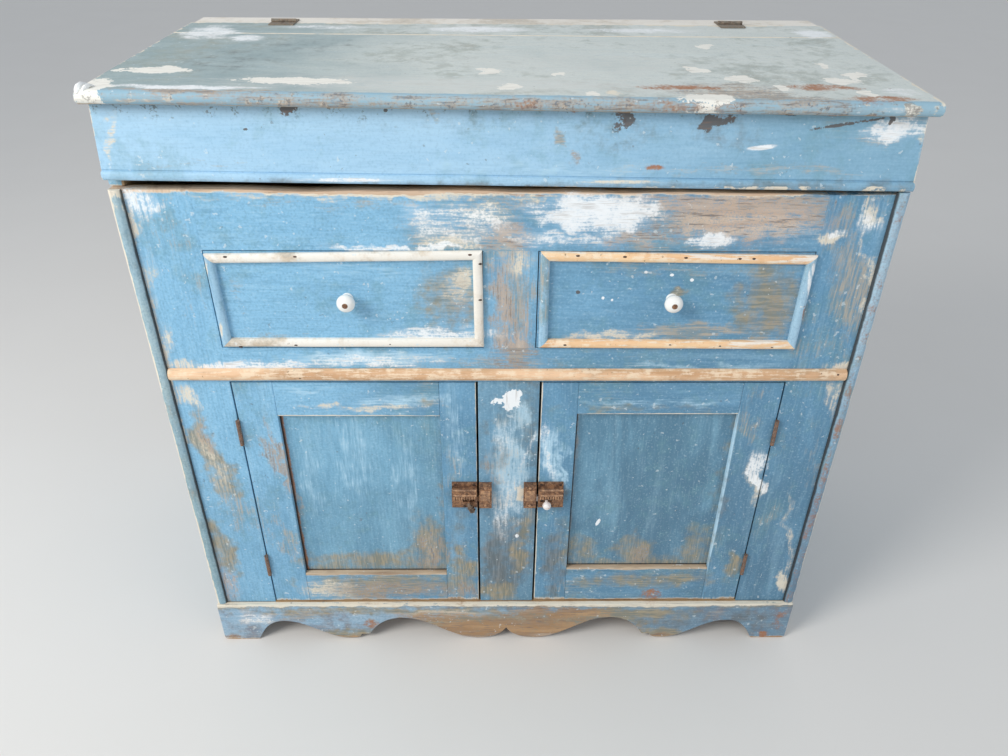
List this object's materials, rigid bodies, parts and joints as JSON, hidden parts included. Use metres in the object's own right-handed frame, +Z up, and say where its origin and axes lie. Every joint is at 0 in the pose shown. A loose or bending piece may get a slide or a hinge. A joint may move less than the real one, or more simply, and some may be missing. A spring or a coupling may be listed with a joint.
{
  "type": "dry sink cabinet",
  "caption": "Painted pine dry sink: a shallow well under a skirted lift-up lid, a pair of drawers below it, and a cupboard with frame-and-panel doors on a scalloped apron.",
  "frame": {"origin": "middle of the bounding box in X and Y, at the floor the feet stand on", "axes": "+X to the viewer's right when facing the doors, +Y from the doors to the back, +Z up; the doors face -Y"},
  "size_m": [1.136, 0.574, 1.0671],
  "materials": {
    "blue_paint": "worn chalky blue paint on pine",
    "light_blue_paint": "worn light blue paint on pine",
    "lid_paint": "worn grey-green paint on pine, scuffed",
    "bare_pine": "bare worn pine",
    "inside_pine": "old unpainted pine",
    "cream_paint": "worn cream paint on pine",
    "rusty_iron": "rusty cast iron",
    "white_painted_iron": "white enamel paint on iron",
    "porcelain": "glossy white glaze"
  },
  "bodies": {
    "case": {"side_board_left": "blue_paint", "side_board_right": "blue_paint", "back_panel": "inside_pine", "cupboard_floor": "inside_pine", "drawer_deck": "inside_pine", "well_floor": "inside_pine", "top_rail": "blue_paint", "middle_rail": "blue_paint", "end_stile_left": "blue_paint", "end_stile_right": "blue_paint", "centre_stile_upper": "blue_paint", "centre_stile_lower": "blue_paint", "apron": "blue_paint", "waist_moulding": "bare_pine", "corner_moulding_left": "light_blue_paint", "corner_moulding_right": "light_blue_paint", "rear_strip": "cream_paint", "latch_keeper_left": "rusty_iron", "latch_keeper_right": "rusty_iron", "door_hinge_frame_leaf_left_lower": "rusty_iron", "door_hinge_frame_leaf_left_upper": "rusty_iron", "door_hinge_frame_leaf_right_lower": "rusty_iron", "door_hinge_frame_leaf_right_upper": "rusty_iron", "lid_hinge_strip_leaf_left": "rusty_iron", "lid_hinge_strip_leaf_right": "rusty_iron"},
    "lid": {"lid_board_front": "lid_paint", "lid_board_rear": "lid_paint", "lid_skirt_front": "light_blue_paint", "lid_skirt_left": "light_blue_paint", "lid_skirt_right": "light_blue_paint", "lid_hinge_lid_leaf_left": "rusty_iron", "lid_hinge_lid_leaf_right": "rusty_iron"},
    "door_left": {"door_left_hinge_stile": "blue_paint", "door_left_latch_stile": "blue_paint", "door_left_top_rail": "blue_paint", "door_left_bottom_rail": "blue_paint", "door_left_panel": "blue_paint", "door_hinge_door_leaf_left_lower": "rusty_iron", "door_hinge_door_leaf_left_upper": "rusty_iron", "latch_case_left": "rusty_iron"},
    "door_right": {"door_right_hinge_stile": "blue_paint", "door_right_latch_stile": "blue_paint", "door_right_top_rail": "blue_paint", "door_right_bottom_rail": "blue_paint", "door_right_panel": "blue_paint", "door_hinge_door_leaf_right_lower": "rusty_iron", "door_hinge_door_leaf_right_upper": "rusty_iron", "latch_case_right": "rusty_iron"},
    "drawer_left": {"drawer_left_front": "blue_paint", "drawer_left_moulding": "cream_paint", "drawer_left_box": "inside_pine", "drawer_left_bottom": "inside_pine", "drawer_left_knob": "porcelain"},
    "drawer_right": {"drawer_right_front": "blue_paint", "drawer_right_moulding": "cream_paint", "drawer_right_box": "inside_pine", "drawer_right_bottom": "inside_pine", "drawer_right_knob": "porcelain"},
    "latch_bolt_left": {"latch_bolt_left": "rusty_iron"},
    "latch_bolt_right": {"latch_bolt_right": "white_painted_iron"}
  },
  "joints": [
    {"name": "lid_hinge", "type": "hinge", "parent": "case", "child": "lid", "pos_m": [0, 0.2325, 1.0637], "axis": [-1, 0, 0], "range_deg": [0, 95]},
    {"name": "door_left_hinge", "type": "hinge", "parent": "case", "child": "door_left", "pos_m": [-0.4463, -0.2567, 0.3515], "axis": [0, 0, -1], "range_deg": [0, 165]},
    {"name": "door_right_hinge", "type": "hinge", "parent": "case", "child": "door_right", "pos_m": [0.4463, -0.2567, 0.3515], "axis": [0, 0, 1], "range_deg": [0, 165]},
    {"name": "drawer_left_slide", "type": "slide", "parent": "case", "child": "drawer_left", "axis": [0, -1, 0], "range_m": [0, 0.33]},
    {"name": "drawer_right_slide", "type": "slide", "parent": "case", "child": "drawer_right", "axis": [0, -1, 0], "range_m": [0, 0.33]},
    {"name": "latch_bolt_left_slide", "type": "slide", "parent": "door_left", "child": "latch_bolt_left", "axis": [1, 0, 0], "range_m": [0, 0.007]},
    {"name": "latch_bolt_right_slide", "type": "slide", "parent": "door_right", "child": "latch_bolt_right", "axis": [-1, 0, 0], "range_m": [0, 0.007]}
  ]
}
